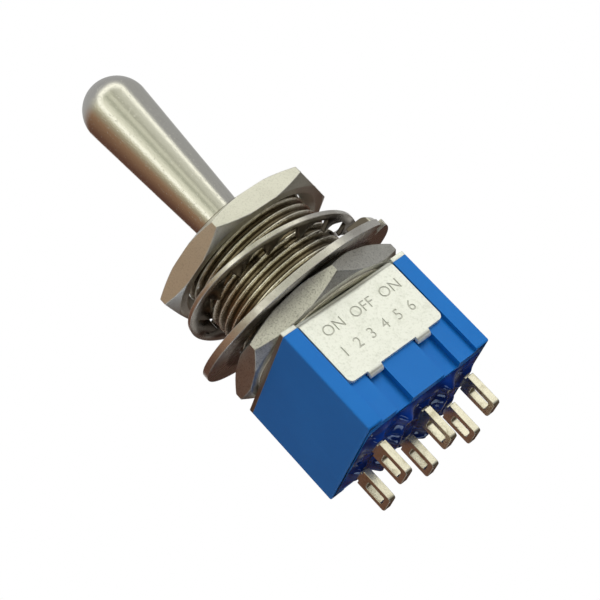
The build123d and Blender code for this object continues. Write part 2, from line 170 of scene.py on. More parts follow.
def casePlastic():
    # Blue moulding: a faint cloud in the colour, rubbed paler in streaks
    look = {"face": (0.001, 0.145, 0.485), "worn": (0.003, 0.165, 0.53), "roughness": 0.34, "gloss": 0.34,
            "cloudSize": 3.5, "grainSize": 0.12, "rubSize": 0.9, "waveSize": 0.7, "relief": 0.006}
    f = Finish("caseBlue")
    cloud = f.noise(look["cloudSize"], 2)
    grain = f.noise(look["grainSize"], 4, 0.6)
    rub = f.noise(look["rubSize"], 5, 0.65, vector=f.stretched(1, 1, 0.25)).ramp(0.55, 0.8)
    wave = f.noise(look["waveSize"], 2)
    colour = f.blend(cloud.ramp(0.3, 0.75) * 0.5 + rub * 0.25, look["face"], look["worn"])
    return f.surface(Base_Color=colour, Roughness=grain * 0.14 + look["roughness"] - rub * 0.06,
                     Specular_IOR_Level=look["gloss"], Normal=f.bump(grain + wave * 0.6, look["relief"], 0.5))


def resinPour():
    # Dark blue resin, smooth and wet
    look = {"deep": (0.001, 0.016, 0.13), "thin": (0.003, 0.045, 0.3), "gloss": 0.5, "sheen": (0.6, 0.8, 1.0),
            "roughness": 0.04, "cloudSize": 1.6, "waveSize": 0.9, "relief": 0.02}
    f = Finish("resinBlue")
    cloud = f.noise(look["cloudSize"], 2)
    wave = f.noise(look["waveSize"], 1)
    return f.surface(Base_Color=f.blend(cloud.ramp(0.4, 0.75), look["deep"], look["thin"]),
                     Roughness=cloud * 0.06 + look["roughness"], Specular_IOR_Level=look["gloss"],
                     Specular_Tint=look["sheen"], Normal=f.bump(wave, look["relief"], 0.3))


def tinPlate():
    # Tinned sheet: mottled on its faces, with painted shade darkening the recesses of the stamped letters,
    # bare and dark where it was sheared
    look = {"face": (0.9, 0.915, 0.83), "stain": (0.62, 0.64, 0.54), "edge": (0.34, 0.29, 0.25),
            "stamp": (0.46, 0.46, 0.40), "roughness": 0.3, "metal": 0.5, "cloudSize": 1.1, "speckSize": 0.2,
            "relief": 0.03, "edgePlace": (6.57, 6.59), "front": -6.15, "stampShadeDepth": (0.01, 0.05, 0.08, 0.12)}
    f = Finish("coverTin")
    x, y = f.axes()[:2]
    cloud = f.noise(look["cloudSize"], 5, 0.65, 0.5)
    speck = f.noise(look["speckSize"], 4, 0.65)
    stain = cloud.ramp(0.5, 0.8) * 0.5 + speck.ramp(0.48, 0.72) * 0.5
    edge = x.calc("ABSOLUTE", x).ramp(*[place * mm for place in look["edgePlace"]])
    # painted shade: darker inside the letters' recesses, from 0.01 to 0.12 mm behind the front face
    stamp = y.zone(*[look["front"] + depth for depth in look["stampShadeDepth"]])
    colour = f.blend(stamp * 0.75, f.blend(stain, look["face"], look["stain"]), look["stamp"])
    colour = f.blend(edge, colour, look["edge"])
    return f.surface(Base_Color=colour, Metallic=edge * 0.5 + look["metal"],
                     Roughness=look["roughness"] + speck * 0.16,
                     Normal=f.bump(cloud * 0.5 + speck, look["relief"], 0.8))


def turnedNickel():
    # The bushing: plated brass, its thread's roots and flanks darkened in warm painted shade, its crests
    # broken by wear
    look = {"crest": (0.92, 0.88, 0.76), "shadedFlank": (0.2, 0.165, 0.11), "roughness": 0.13,
            "rootShadeRadius": (5.72, 6.0), "fleckSize": 0.26, "dentSize": 0.4, "relief": 0.07}
    f = Finish("bushingNickel")
    # painted shade: the mask below is 1 on the crests and falls towards the roots, which take the dark flank
    # colour; only the flecks are wear
    worn = f.radius().ramp(*[place * mm for place in look["rootShadeRadius"]])
    fleck = f.noise(look["fleckSize"], 4, 0.7)
    dent = f.noise(look["dentSize"], 3, 0.6, vector=f.stretched(1, 1, 1.6))
    colour = f.blend((worn * 0.75 + fleck * 0.6).ramp(0.35, 0.95), look["shadedFlank"], look["crest"])
    return f.surface(Base_Color=colour, Metallic=1.0, Roughness=look["roughness"] + fleck * 0.16,
                     Normal=f.bump(dent + fleck * 0.3, look["relief"], 0.8))


def polishedNickel():
    # The lever: polished round, with fine turning lines, pits and rub marks
    look = {"face": (0.70, 0.69, 0.65), "dull": (0.58, 0.57, 0.52), "roughness": 0.07, "ringSize": 0.06,
            "speckleSize": 0.14, "pitSize": 0.22, "rubSize": 0.3, "relief": 0.009}
    f = Finish("leverNickel")
    rings = f.noise(look["ringSize"], 3, 0.6, vector=f.stretched(0.05, 0.05, 1))
    speckle = f.noise(look["speckleSize"], 2, 0.5)
    pits = f.noise(look["pitSize"], 3, 0.6).ramp(0.62, 0.72)
    rub = f.noise(look["rubSize"], 5, 0.7, 0.3, vector=f.stretched(1, 1, 0.35))
    colour = f.blend(rub.ramp(0.5, 0.8) * 0.6, look["face"], look["dull"])
    return f.surface(Base_Color=colour, Metallic=1.0, Roughness=look["roughness"] + rub.ramp(0.4, 0.8) * 0.12,
                     Normal=f.bump(rings * 0.4 + rub + speckle - pits * 1.2, look["relief"], 0.7))


def tumbledNickel():
    # Nuts: tumbled before plating, so the faces are finely pitted. The lower one is coarser, and painted
    # darker as shade under the washers.
    look = {"face": (0.84, 0.83, 0.77), "pit": (0.55, 0.54, 0.49), "shadedLowFace": (0.68, 0.67, 0.63),
            "shadedLowPit": (0.3, 0.29, 0.27), "lowBelow": (4, 3), "roughness": 0.28, "pitSize": 0.13,
            "cloudSize": 1.8, "relief": 0.012}
    f = Finish("nutNickel")
    low = f.axes()[2].ramp(*[place * mm for place in look["lowBelow"]])
    pit = f.noise(look["pitSize"], 4, 0.65)
    cloud = f.noise(look["cloudSize"], 3)
    spread = pit.ramp(0.46, 0.7) * (low * 0.3 + 0.45) + cloud.ramp(0.4, 0.8) * 0.2
    upper = f.blend(spread, look["face"], look["pit"])
    # painted shade: the lower nut's colours are darker, standing for the shade under the washers above it
    lower = f.blend(spread, look["shadedLowFace"], look["shadedLowPit"])
    return f.surface(Base_Color=f.blend(low, upper, lower), Metallic=1.0,
                     Roughness=look["roughness"] + pit * 0.14,
                     Normal=f.bump(pit * (low * 2 + 1) + cloud * 0.5, look["relief"], 0.8))


# how the locating washer lies, in degrees: how far it leans, which way, and where its lug points
stance = {"tilt": 7.6, "azimuth": 256, "lug": -45}


def washerNickel():
    # Washers: bright rims, with painted shade darkening them towards the thread and on the folded lug, which
    # lies in a zone above the tilted washer's top plane and out along the lug's own direction
    look = {"face": (0.74, 0.72, 0.68), "dark": (0.36, 0.33, 0.30), "paintedShade": (0.14, 0.12, 0.10),
            "innerShadeRadius": (7.95, 7.55), "roughness": 0.2, "pitSize": 0.12, "cloudSize": 1.6, "relief": 0.006,
            "lugReach": (6.3, 6.5, 8.9, 9.02), "top": 3.76, "lugRise": (0.03, 0.06, 1.6, 1.7)}
    f = Finish("washerNickel")
    x, y, z = f.axes()
    pit = f.noise(look["pitSize"], 3, 0.6)
    cloud = f.noise(look["cloudSize"], 4, 0.6, 0.3)
    colour = f.blend(cloud.ramp(0.42, 0.75) * 0.45 + pit.ramp(0.52, 0.75) * 0.45, look["face"], look["dark"])
    # painted shade: darker inwards of a radius of about 7.55 to 7.95 mm, towards the thread
    colour = f.blend((f.radius() * (1 / mm) + cloud * 0.5).ramp(*look["innerShadeRadius"]), colour, look["paintedShade"])
    tilt, azimuth, lug = [math.radians(stance[key]) for key in ("tilt", "azimuth", "lug")]
    outward = x * math.cos(lug) + y * math.sin(lug)
    above = z + (x * math.cos(azimuth) + y * math.sin(azimuth)) * math.tan(tilt)
    # painted shade on the folded lug, in the zone above the washer's top plane and out along the lug
    fold = above.zone(*[look["top"] + rise for rise in look["lugRise"]]) * outward.zone(*look["lugReach"])
    colour = f.blend(fold, colour, look["paintedShade"])
    return f.surface(Base_Color=colour, Metallic=1.0, Roughness=look["roughness"] + cloud * 0.16,
                     Normal=f.bump(pit + cloud, look["relief"], 0.5))


def silverPlate():
    # Terminals and contacts: silver on brass, going yellow
    look = {"face": (0.84, 0.80, 0.68), "tarnish": (0.42, 0.36, 0.23), "roughness": 0.16, "cloudSize": 0.9,
            "fineSize": 0.14, "relief": 0.012}
    f = Finish("contactSilver")
    cloud = f.noise(look["cloudSize"], 5, 0.65, 0.5)
    fine = f.noise(look["fineSize"], 4, 0.6)
    spread = cloud.ramp(0.45, 0.78) * 0.7 + fine.ramp(0.55, 0.8) * 0.35
    colour = f.blend(spread, look["face"], look["tarnish"])
    return f.surface(Base_Color=colour, Metallic=1.0, Roughness=look["roughness"] + cloud * 0.16,
                     Normal=f.bump(fine + cloud, look["relief"], 0.6))


def innerNylon():
    look = {"face": (0.78, 0.77, 0.71), "aged": (0.66, 0.64, 0.57), "roughness": 0.4, "cloudSize": 1.2,
            "fineSize": 0.2, "relief": 0.006}
    f = Finish("nylonWhite")
    fine = f.noise(look["fineSize"], 3)
    cloud = f.noise(look["cloudSize"], 2)
    return f.surface(Base_Color=f.blend(cloud.ramp(0.3, 0.8), look["face"], look["aged"]),
                     Roughness=fine * 0.15 + look["roughness"], Normal=f.bump(fine, look["relief"], 0.5))


def pinSteel():
    # Drawn wire, its lines along Y
    look = {"dark": (0.42, 0.41, 0.40), "face": (0.58, 0.57, 0.56), "roughness": 0.22, "fineSize": 0.08,
            "relief": 0.006}
    f = Finish("pinSteel")
    fine = f.noise(look["fineSize"], 3, 0.5, vector=f.stretched(1, 0.1, 1))
    return f.surface(Base_Color=f.blend(fine, look["dark"], look["face"]), Metallic=1.0,
                     Roughness=fine * 0.2 + look["roughness"], Normal=f.bump(fine, look["relief"], 0.5))


paints = {"case_blue": casePlastic(), "resin_blue": resinPour(), "cover_steel": tinPlate(),
          "bushing_nickel": turnedNickel(), "lever_nickel": polishedNickel(), "nut_nickel": tumbledNickel(),
          "washer_steel": washerNickel(), "contact_silver": silverPlate(), "nylon_white": innerNylon(),
          "pin_steel": pinSteel()}
print("materials made")


def spun(profile, steps, rise=0.0):
    # A bmesh turned round Z from a list of (radius, height) in mm. rise is how far one turn climbs.
    bm = bmesh.new()
    line = [bm.verts.new((r * mm, 0, z * mm)) for r, z in profile]
    edges = [bm.edges.new(pair) for pair in zip(line, line[1:])]
    bmesh.ops.spin(bm, geom=line + edges, angle=math.tau, steps=steps, axis=(0, 0, 1), cent=(0, 0, 0),
                   dvec=(0, 0, rise * mm / steps), use_merge=rise == 0)
    bmesh.ops.remove_doubles(bm, verts=bm.verts, dist=0.002 * mm)
    return bm


def ringed(profile):
    return profile + profile[:1]


def arc(centre, radius, start, end, count):
    # Points on an arc, angles in degrees from +X
    turns = [math.radians(start + (end - start) * i / count) for i in range(count + 1)]
    return [(centre[0] + radius * math.cos(t), centre[1] + radius * math.sin(t)) for t in turns]


def turned(angle, axis):
    return Matrix.Rotation(math.radians(angle), 3, axis)


def vertsOf(geometry):
    return [item for item in geometry if isinstance(item, bmesh.types.BMVert)]


def facesOf(geometry):
    return [item for item in geometry if isinstance(item, bmesh.types.BMFace)]


def asPiece(bm, name, slot, body, *stoodFor, sharp=35):
    # Turns a bmesh into a piece that rides on a body and wears the finish of its slot
    bmesh.ops.recalc_face_normals(bm, faces=bm.faces)
    for face in bm.faces:
        face.smooth = True
    for edge in bm.edges:
        edge.smooth = edge.calc_face_angle(math.pi) < math.radians(sharp)
    mesh = bpy.data.meshes.new(name)
    bm.to_mesh(mesh)
    bm.free()
    piece = bpy.data.objects.new(name, mesh)
    bpy.context.scene.collection.objects.link(piece)
    mesh.materials.append(paints[slot])
    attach(piece, body)
    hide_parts(*stoodFor)
    return piece


def rounded(piece, width, segments, angle, clamp=False):
    # Softens the edges that turn by more than angle, width in mm
    bevel = piece.modifiers.new("edges", "BEVEL")
    bevel.width, bevel.segments = width * mm, segments
    bevel.limit_method, bevel.angle_limit = "ANGLE", math.radians(angle)
    bevel.use_clamp_overlap, bevel.harden_normals = clamp, True
    return piece


def settled(bm):
    # Orders a bmesh by place alone, because a boolean's own order changes from run to run
    slant = Vector((1.0, 1.37, 1.73))
    bm.verts.sort(key=lambda vert: vert.co.dot(slant))
    bm.edges.sort(key=lambda edge: (edge.verts[0].co + edge.verts[1].co).dot(slant))
    bm.faces.sort(key=lambda face: face.calc_center_median().dot(slant))
    return bm


def cut(bm, operation, *cutters):
    # Boolean of bmeshes, worked by a modifier on a scrap object
    scrap = []
    for part in (bm, *cutters):
        bmesh.ops.recalc_face_normals(part, faces=part.faces)
        mesh = bpy.data.meshes.new("scrap")
        part.to_mesh(mesh)
        part.free()
        scrap.append(bpy.data.objects.new("scrap", mesh))
        bpy.context.scene.collection.objects.link(scrap[-1])
    for cutter in scrap[1:]:
        step = scrap[0].modifiers.new("cut", "BOOLEAN")
        step.operation, step.object, step.solver = operation, cutter, "EXACT"
    graph = bpy.context.evaluated_depsgraph_get()
    result = bmesh.new()
    result.from_mesh(scrap[0].evaluated_get(graph).to_mesh())
    for thing in scrap:
        bpy.data.objects.remove(thing)
    bmesh.ops.remove_doubles(settled(result), verts=result.verts, dist=0.001 * mm)
    return settled(result)


def block(x, y, z):
    # A box between three pairs of coordinates, in mm
    bm = bmesh.new()
    bmesh.ops.create_cube(bm, size=1)
    size = [b - a for a, b in (x, y, z)]
    middle = [(a + b) / 2 for a, b in (x, y, z)]
    bmesh.ops.scale(bm, verts=bm.verts, vec=[side * mm for side in size])
    bmesh.ops.translate(bm, verts=bm.verts, vec=[place * mm for place in middle])
    return bm


def joined(*parts):
    # Several bmeshes in one
    whole = bmesh.new()
    for part in parts:
        mesh = bpy.data.meshes.new("scrap")
        part.to_mesh(mesh)
        part.free()
        whole.from_mesh(mesh)
        bpy.data.meshes.remove(mesh)
    return whole


def leaning(bm, height, tilt, azimuth):
    # Tips a washer towards an azimuth and lifts it to its height
    matrix = (Matrix.Translation((0, 0, height * mm)) @ Matrix.Rotation(math.radians(azimuth), 4, "Z")
              @ Matrix.Rotation(math.radians(tilt), 4, "Y") @ Matrix.Rotation(math.radians(-azimuth), 4, "Z"))
    bmesh.ops.transform(bm, matrix=matrix, verts=bm.verts)


def cleanCopy(node):
    # A copy of a CAD node's mesh, merged into clean faces
    bm = bmesh.new()
    bm.from_mesh(nodes[node].data)
    bmesh.ops.remove_doubles(bm, verts=bm.verts, dist=0.001 * mm)
    bmesh.ops.dissolve_limit(bm, angle_limit=math.radians(0.5), verts=bm.verts, edges=bm.edges)
    return bm


def softCopy(node, name, slot, body, width, clamp=False):
    # A CAD node's own shape with its edges rounded, standing for it
    return rounded(asPiece(cleanCopy(node), name, slot, body, node), width, 2, 45, clamp)


def lettering(text, height, depth):
    # Solid letters lying on XY, read along +X. They are filled at full size and then made small.
    data = bpy.data.curves.new("letters", "FONT")
    data.body, data.extrude, data.resolution_u = text, depth / height, 5
    thing = bpy.data.objects.new("letters", data)
    bm = bmesh.new()
    bm.from_mesh(bpy.data.meshes.new_from_object(thing))
    bpy.data.objects.remove(thing)
    bmesh.ops.remove_doubles(bm, verts=bm.verts, dist=0.001)
    bmesh.ops.scale(bm, verts=bm.verts, vec=[height * mm] * 3)
    return bm


def makeCover():
    # The folded cover, with the positions of the switch stamped into its front flange
    size = {"edge": 0.04, "bentOver": 45, "height": 1.35, "depth": 0.06, "left": -3.9,
            "lines": {"ON  OFF  ON": -2.4, "1  2  3  4  5  6": -4.5}}
    bm = cleanCopy("cover")
    face = min(vert.co.y for vert in bm.verts)
    folds = [edge for edge in bm.edges if edge.calc_face_angle(0) > math.radians(size["bentOver"])]
    bmesh.ops.bevel(bm, geom=folds, offset=size["edge"] * mm, offset_type="OFFSET", segments=2, profile=0.5,
                    affect="EDGES", clamp_overlap=False, material=-1)
    stamps = []
    for text, height in size["lines"].items():
        stamp = lettering(text, size["height"], size["depth"])
        bmesh.ops.rotate(stamp, verts=stamp.verts, cent=(0, 0, 0), matrix=turned(90, "X"))
        bmesh.ops.translate(stamp, verts=stamp.verts, vec=(size["left"] * mm, face, height * mm))
        stamps.append(stamp)
    piece = asPiece(cut(bm, "DIFFERENCE", *stamps), "tinCover", "cover_steel", "housing", "cover", sharp=50)
    piece.modifiers.new("flats", "WEIGHTED_NORMAL").keep_sharp = True
    return piece


def makeThread(size):
    # One full turn of the line climbs one pitch, so the seam closes on itself.
    # wave is one ridge, from root to root: shares of the pitch and of the depth.
    pitch, top, relief, core = size["pitch"], size["top"], size["relief"], size["core"]
    wave = [(0.0, 1.0), (0.1, 1.0), (0.13, 0.93), (0.4, 0.05), (0.43, 0.0), (0.55, 0.0), (0.58, 0.05),
            (0.85, 0.93), (0.88, 1.0)]
    turns = range(math.ceil(top / pitch) + 2)
    line = [(size["crest"] - size["depth"] * deep, (turn + share) * pitch - pitch) for turn in turns
            for share, deep in wave]
    thread = spun(line, size["steps"], rise=pitch)
    for height, keepAbove in ((size["reliefTop"] + size["trim"], True), (top - size["trim"], False)):
        bmesh.ops.bisect_plane(thread, geom=thread.verts[:] + thread.edges[:] + thread.faces[:],
                               plane_co=(0, 0, height * mm), plane_no=(0, 0, 1), clear_inner=keepAbove,
                               clear_outer=not keepAbove)
    for vert in thread.verts:
        radius, height = vert.co.xy.length / mm, vert.co.z / mm
        limit = min(radius, relief + max(0, height - size["reliefTop"]), core + top - height)
        vert.co.xy *= limit / radius
    # both ends are drawn in under the core's surface and closed along the inside
    rims = [edge for edge in thread.edges if edge.is_boundary]
    for vert in vertsOf(bmesh.ops.extrude_edge_only(thread, edges=rims)["geom"]):
        vert.co.xy *= size["skirt"] * mm / vert.co.xy.length
    bmesh.ops.bridge_loops(thread, edges=[edge for edge in thread.edges if edge.is_boundary])
    return thread


def makeBushing():
    size = {"top": 11.6, "pitch": 0.75, "depth": 0.42, "crest": 6.0, "trim": 0.02, "core": 5.5, "skirt": 5.3,
            "steps": 128, "mouth": 3.6, "mouthEdge": (0.1, 0.06), "throat": 1.9, "pivot": 6.4, "seat": 2.55,
            "seatFoot": 3.6, "tail": 3.2, "tailTop": 2.95, "spigot": 4.5, "spigotEnd": -0.4, "stake": 5.0,
            "stakeEnd": -0.75, "lip": 6.9, "lipTop": 0.12, "relief": 5.55, "reliefTop": 0.6,
            "keywayFloor": 5.2, "keywayHalf": 0.75, "keywayGap": 0.02, "pinHalf": 0.55, "pinReach": 4.2}
    top, core, mouth, stakeEnd = size["top"], size["core"], size["mouth"], size["stakeEnd"]
    relief, reliefTop = size["relief"], size["reliefTop"]
    edgeWidth, edgeDepth = size["mouthEdge"]
    outside = [(size["spigot"], size["spigotEnd"]), (size["spigot"], 0), (size["lip"], 0),
               (size["lip"], size["lipTop"]), (relief, size["lipTop"]), (relief, reliefTop),
               (core, reliefTop + 0.1), (core, top), (mouth + edgeWidth, top), (mouth, top - edgeDepth)]
    seatAngle = math.degrees(math.asin(size["throat"] / size["seat"]))
    seat = arc((0, size["pivot"]), size["seat"], 90 - seatAngle, 0, 12)
    inside = [(size["seat"], size["seatFoot"]), (size["tail"], size["tailTop"]), (size["tail"], stakeEnd),
              (size["stake"], stakeEnd), (size["stake"], size["spigotEnd"])]
    body = spun(ringed(outside + seat + inside), size["steps"])
    # the keyway is a hair wider in the body, so that the two walls don't lie in one plane
    half = size["keywayHalf"]
    keyway, wideKeyway = [block((size["keywayFloor"], 8), (-half - gap, half + gap), (reliefTop, top + 1))
                          for gap in (0, size["keywayGap"])]
    half, reach = size["pinHalf"], size["pinReach"]
    pinWay = block((-half, half), (-reach, reach), (-1, size["pivot"]))
    thread = cut(makeThread(size), "DIFFERENCE", keyway)
    body = cut(body, "DIFFERENCE", wideKeyway, pinWay)
    return asPiece(joined(body, thread), "threadedBushing", "bushing_nickel", "housing", "bushing", sharp=50)


def makeLever():
    size = {"pivot": 6.4, "ball": 2.5, "neck": 1.4, "root": (2.05, 11.4), "tip": 2.98, "height": 29.4,
            "tail": 1.0, "tailEnd": -3.6, "tailEdge": 0.2, "rings": 12, "steps": 128}
    pivot, ball, neck = size["pivot"], size["ball"], size["neck"]
    tailRadius, tailEnd, edge = size["tail"], size["tailEnd"], size["tailEdge"]
    tail = [(0, tailEnd), (tailRadius - edge, tailEnd), (tailRadius, tailEnd + edge)]
    tailTurn = math.degrees(math.acos(tailRadius / ball))
    neckTurn = math.degrees(math.acos(neck / ball))
    sphere = arc((0, pivot), ball, -tailTurn, neckTurn, 24)
    shoulder = [(neck, sphere[-1][1] + 0.1), size["root"]]
    tipHeight = size["height"] - size["tip"]
    rootRadius, rootHeight = size["root"]
    side = [(rootRadius + (size["tip"] - rootRadius) * i / size["rings"],
             rootHeight + (tipHeight - rootHeight) * i / size["rings"]) for i in range(1, size["rings"])]
    dome = arc((0, tipHeight), size["tip"], 0, 90, 20)
    bm = spun(tail + sphere + shoulder + side + dome, size["steps"])
    return asPiece(bm, "batLever", "lever_nickel", "lever", "lever")


def makeNut(name, node, bottom, turn):
    # A chamfered disc cut by a hexagon, which leaves a curved chamfer line on each flat
    size = {"flats": 15.0, "thick": 1.9, "bore": 6.05, "sink": 0.75, "start": 7.55, "lean": 30, "edge": 0.06,
            "merge": 0.08, "spare": 0.3, "steps": 120}
    half, bore, sink = size["thick"] / 2, size["bore"], size["sink"]
    corner = size["flats"] / 2 / math.cos(math.radians(30))
    reach = corner + size["spare"]
    fall = (reach - size["start"]) * math.tan(math.radians(size["lean"]))
    lower = [(bore, -half + sink), (bore + sink, -half), (size["start"], -half), (reach, -half + fall)]
    disc = spun(ringed(lower + [(r, -z) for r, z in reversed(lower)]), size["steps"])
    hexagon = bmesh.new()
    bmesh.ops.create_cone(hexagon, cap_ends=True, segments=6, radius1=corner * mm, radius2=corner * mm,
                          depth=size["thick"] * 1.2 * mm)
    bmesh.ops.rotate(hexagon, verts=hexagon.verts, cent=(0, 0, 0), matrix=turned(turn - 30, "Z"))
    bm = cut(disc, "INTERSECT", hexagon)
    bmesh.ops.remove_doubles(bm, verts=bm.verts, dist=size["merge"] * mm)
    bmesh.ops.dissolve_limit(bm, angle_limit=math.radians(0.5), verts=bm.verts, edges=bm.edges)
    bmesh.ops.translate(bm, verts=bm.verts, vec=(0, 0, (bottom + half) * mm))
    return rounded(asPiece(bm, name, "nut_nickel", node, node), size["edge"], 3, 22)


def makeLockWasher():
    # Each tooth is drawn out of the ring's inner wall in three steps that twist it out of the ring's plane
    size = {"outer": 8.0, "root": 7.2, "thick": 0.45, "teeth": 14, "length": 1.0, "perTooth": 8, "edge": 0.1,
            "steps": ((0.3, 10), (0.35, 9), (0.35, 5)), "height": 6.25, "tilt": 8.2, "azimuth": 353.5}
    half, root = size["thick"] / 2, size["root"]
    ring = [(root, -half), (size["outer"], -half), (size["outer"], half), (root, half)]
    bm = spun(ringed(ring), size["teeth"] * size["perTooth"])
    bmesh.ops.recalc_face_normals(bm, faces=bm.faces)
    share = math.cos(math.tau / size["teeth"] * 0.33)
    for tooth in range(size["teeth"]):
        middle = math.tau * tooth / size["teeth"]
        aim = Vector((math.cos(middle), math.sin(middle), 0))
        faces = [face for face in bm.faces if face.normal.xy.dot(aim.xy) < -0.9
                 and face.calc_center_median().xy.normalized().dot(aim.xy) > share
                 and face.calc_center_median().xy.length < (root + 0.05) * mm]
        for reach, twist in size["steps"]:
            grown = bmesh.ops.extrude_face_region(bm, geom=faces)["geom"]
            verts = vertsOf(grown)
            bmesh.ops.delete(bm, geom=faces, context="FACES")
            faces = facesOf(grown)
            bmesh.ops.translate(bm, verts=verts, vec=-aim * size["length"] * reach * mm)
            centre = sum((vert.co for vert in verts), Vector()) / len(verts)
            bmesh.ops.rotate(bm, verts=verts, cent=centre, matrix=turned(twist, aim))
    leaning(bm, size["height"], size["tilt"], size["azimuth"])
    piece = asPiece(bm, "toothedLockWasher", "washer_steel", "housing", "lock_washer")
    return rounded(piece, size["edge"], 3, 40)


def makeLocatingWasher():
    size = {"outer": 9.5, "bore": 6.17, "thick": 0.65, "tongue": (5.62, 6.6), "tongueHalf": 0.55,
            "inset": 0.01, "lugInset": 0.4, "lugBend": 0.15, "lugHalf": 0.75, "lugRoot": 0.3,
            "lugLength": 1.3, "lugFold": 174, "edge": 0.06, "steps": 144, "height": 3.1}
    bore, outer, thick, half = size["bore"], size["outer"], size["thick"], size["lugHalf"]
    between = (size["inset"], thick - size["inset"])
    disc = spun(ringed([(bore, 0), (outer, 0), (outer, thick), (bore, thick)]), size["steps"])
    # the lug: its root stands in the disc, its end face is spun up round the bend and drawn out
    bend = outer - size["lugInset"] - thick - size["lugBend"]
    disc = cut(disc, "DIFFERENCE", block((bend, 12), (-half, half), (-1, 2)))
    lug = block((bend - size["lugRoot"], bend), (-half, half), between)
    face = max(lug.faces, key=lambda item: item.calc_center_median().x)
    fold = math.radians(size["lugFold"])
    centre = (bend * mm, 0, (thick + size["lugBend"]) * mm)
    curl = bmesh.ops.spin(lug, geom=[face], cent=centre, axis=(0, -1, 0), angle=fold, steps=20)
    last = facesOf(curl["geom_last"])
    grown = bmesh.ops.extrude_face_region(lug, geom=last)["geom"]
    bmesh.ops.delete(lug, geom=[face] + last, context="FACES_ONLY")
    bmesh.ops.translate(lug, verts=vertsOf(grown),
                        vec=Vector((math.cos(fold), 0, math.sin(fold))) * size["lugLength"] * mm)
    bm = joined(disc, lug)
    bmesh.ops.rotate(bm, verts=bm.verts, cent=(0, 0, 0), matrix=turned(stance["lug"], "Z"))
    bm = joined(bm, block(size["tongue"], (-size["tongueHalf"], size["tongueHalf"]), between))
    leaning(bm, size["height"], stance["tilt"], stance["azimuth"])
    piece = asPiece(bm, "locatingWasher", "washer_steel", "housing", "locating_washer")
    return rounded(piece, size["edge"], 3, 40)


def makeResin(terminals):
    # Poured round the terminals: it climbs each one, hangs in two lumpy ridges between them and sets in folds
    size = {"reach": (6.1, 4.85), "wall": (5.9, 4.45), "top": -9.15, "bottom": -9.8, "bulge": 0.25,
            "edge": 0.6, "lug": (0.33, 1.0), "climb": 0.4, "climbReach": 0.3, "ridge": 0.95,
            "ridges": (-2.45, 2.45), "ridgeWidth": 0.62, "ridgeEnd": 0.7, "swell": 0.16, "fold": 0.1,
            "foldWidth": 0.06}
    reachX, reachY = size["reach"]
    wallX, wallY = [wall * mm for wall in size["wall"]]
    lugX, lugY = size["lug"]
    bm = bmesh.new()
    bmesh.ops.create_grid(bm, x_segments=220, y_segments=180, size=1)
    bmesh.ops.scale(bm, verts=bm.verts, vec=(reachX * mm, reachY * mm, 1))
    for vert in bm.verts:
        x, y = vert.co.x / mm, vert.co.y / mm
        edge = max(0, min(reachX - abs(x), reachY - abs(y)))
        deep = size["bulge"] * min(1, edge / size["edge"]) ** 0.5
        for tx, ty in terminals:
            gap = math.hypot(max(0, abs(x - tx) - lugX), max(0, abs(y - ty) - lugY))
            deep += size["climb"] * math.exp(-(gap / size["climbReach"]) ** 1.2)
        end = min(1, edge / size["ridgeEnd"]) ** 0.6
        for number, ridgeX in enumerate(size["ridges"]):
            sway = 0.5 * noise.noise(Vector((number * 5, y * 0.4, 3)))
            width = size["ridgeWidth"] * (1 + 0.45 * noise.noise(Vector((number, y * 0.5, 9))))
            lump = 0.85 + 0.7 * noise.noise(Vector((number * 3 + 1, y * 0.5, 5)))
            deep += size["ridge"] * lump * end * math.exp(-((x - ridgeX - sway) / width) ** 2)
        deep += size["swell"] * noise.noise(Vector((x * 0.55, y * 0.55, 7)))
        fold = abs(noise.noise(Vector((x * 0.5, y * 0.5, 12))))
        deep += size["fold"] * math.exp(-fold / size["foldWidth"]) * end
        vert.co.z = (size["bottom"] - deep) * mm
    for _ in range(4):
        bmesh.ops.smooth_vert(bm, verts=bm.verts, factor=0.5, use_axis_z=True)
    # its rim is drawn up inside the case and closed
    rim = [edge for edge in bm.edges if edge.is_boundary]
    for vert in vertsOf(bmesh.ops.extrude_edge_only(bm, edges=rim)["geom"]):
        vert.co.x = max(-wallX, min(wallX, vert.co.x))
        vert.co.y = max(-wallY, min(wallY, vert.co.y))
        vert.co.z = size["top"] * mm
    bmesh.ops.holes_fill(bm, edges=[edge for edge in bm.edges if edge.is_boundary])
    return asPiece(bm, "resinPour", "resin_blue", "housing", "resin_seal", sharp=60)


# the lower face's height and the turn of a corner for each nut, and the terminals' rows and columns
nuts = {"upper": (8.88, 55.6), "lower": (0.14, 25.5)}
rows = {"front": -2.4, "back": 2.4}
columns = {"left": -4.9, "centre": 0, "right": 4.9}
edges = {"case": 0.06, "terminal": 0.04}

makeBushing()
makeLever()
print("bushing and lever made")
for place, (bottom, turn) in nuts.items():
    makeNut(f"{place}Nut", f"{place}_nut", bottom, turn)
makeLockWasher()
makeLocatingWasher()
print("nuts and washers made")
softCopy("case", "blueCase", "case_blue", "housing", edges["case"], clamp=True)
makeCover()
for pole in rows:
    for column in columns:
        softCopy(f"terminal_{pole}_{column}", f"{pole}{column.title()}Terminal", "contact_silver", "housing",
                 edges["terminal"])
makeResin([(x, y) for y in rows.values() for x in columns.values()])
print("case, cover and terminals made")

# the pieces inside keep their CAD shape and get their finish
for row in frame["record"]["subparts"]:
    node = nodes[row["node"]]
    if not node.hide_render:
        for slot in node.material_slots:
            slot.material = paints[row["material_slot"]]
print("inner pieces finished")


def madeStage(bm, name, material):
    mesh = bpy.data.meshes.new(name)
    bm.to_mesh(mesh)
    bm.free()
    thing = bpy.data.objects.new(name, mesh)
    bpy.context.scene.collection.objects.link(thing)
    mesh.materials.append(material)
    return thing


